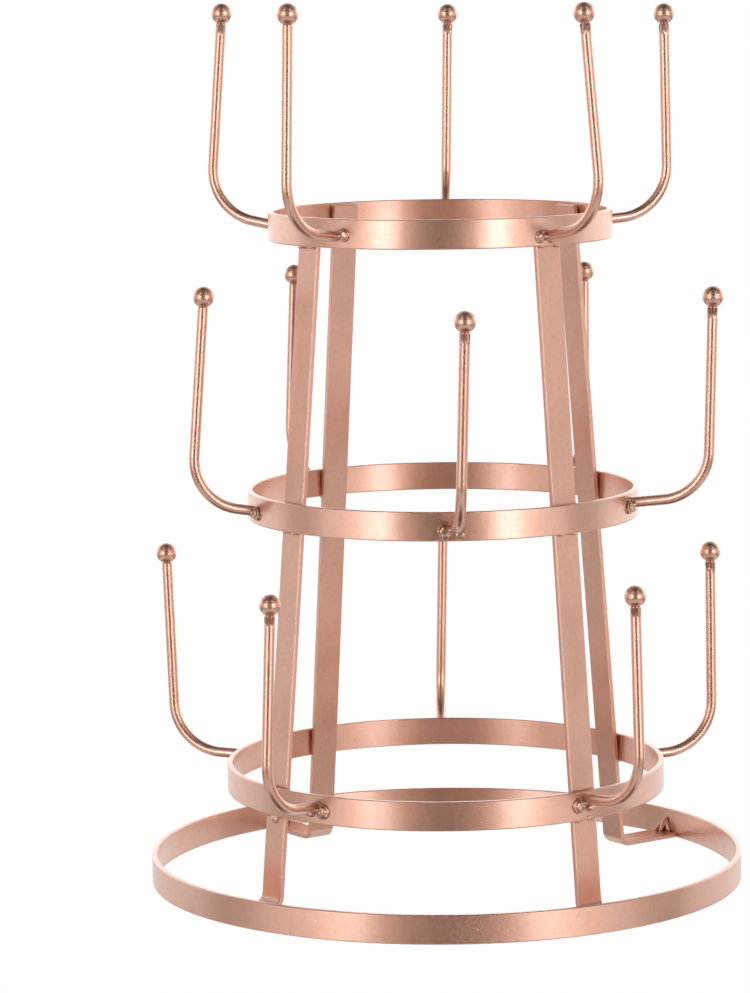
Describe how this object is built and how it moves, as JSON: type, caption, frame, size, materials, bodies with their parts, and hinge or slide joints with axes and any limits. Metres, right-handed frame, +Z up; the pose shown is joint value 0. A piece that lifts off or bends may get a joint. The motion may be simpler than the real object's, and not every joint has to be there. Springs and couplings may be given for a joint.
{
  "type": "mug tree",
  "caption": "Three-tier countertop mug tree: flat-strip rings on splayed flat-bar legs, with ball-tipped wire hooks that hold mugs by their handles.",
  "frame": {"origin": "centre of the base ring, on the surface that the tree stands on", "axes": "+Z up, -Y the front that the camera sees, +X to the right of the front view"},
  "size_m": [0.23, 0.23, 0.3403],
  "materials": {
    "painted_strip": "satin rose-gold metallic paint with a fine grain",
    "painted_rod": "satin rose-gold metallic paint, a little glossier on the drawn rod",
    "painted_ball": "satin rose-gold metallic paint, glossier on the turned ball",
    "weld": "rose-gold paint over lumpy weld metal"
  },
  "bodies": {
    "root": {"base_ring": "painted_strip", "lower_ring": "painted_strip", "middle_ring": "painted_strip", "top_ring": "painted_strip", "leg_back_right": "painted_strip", "leg_back_left": "painted_strip", "leg_front_left": "painted_strip", "leg_front_right": "painted_strip", "top_hook_back": "painted_rod", "top_hook_left": "painted_rod", "top_hook_front_left": "painted_rod", "top_hook_front_right": "painted_rod", "top_hook_right": "painted_rod", "middle_hook_front": "painted_rod", "middle_hook_right": "painted_rod", "middle_hook_back_right": "painted_rod", "middle_hook_back_left": "painted_rod", "middle_hook_left": "painted_rod", "lower_hook_back": "painted_rod", "lower_hook_left": "painted_rod", "lower_hook_front_left": "painted_rod", "lower_hook_front_right": "painted_rod", "lower_hook_right": "painted_rod", "top_ball_back": "painted_ball", "top_ball_left": "painted_ball", "top_ball_front_left": "painted_ball", "top_ball_front_right": "painted_ball", "top_ball_right": "painted_ball", "middle_ball_front": "painted_ball", "middle_ball_right": "painted_ball", "middle_ball_back_right": "painted_ball", "middle_ball_back_left": "painted_ball", "middle_ball_left": "painted_ball", "lower_ball_back": "painted_ball", "lower_ball_left": "painted_ball", "lower_ball_front_left": "painted_ball", "lower_ball_front_right": "painted_ball", "lower_ball_right": "painted_ball", "hook_welds_top": "weld", "hook_welds_middle": "weld", "hook_welds_lower": "weld", "leg_welds_top": "weld", "leg_welds_middle": "weld", "leg_welds_lower": "weld", "foot_welds": "weld"}
  },
  "joints": []
}
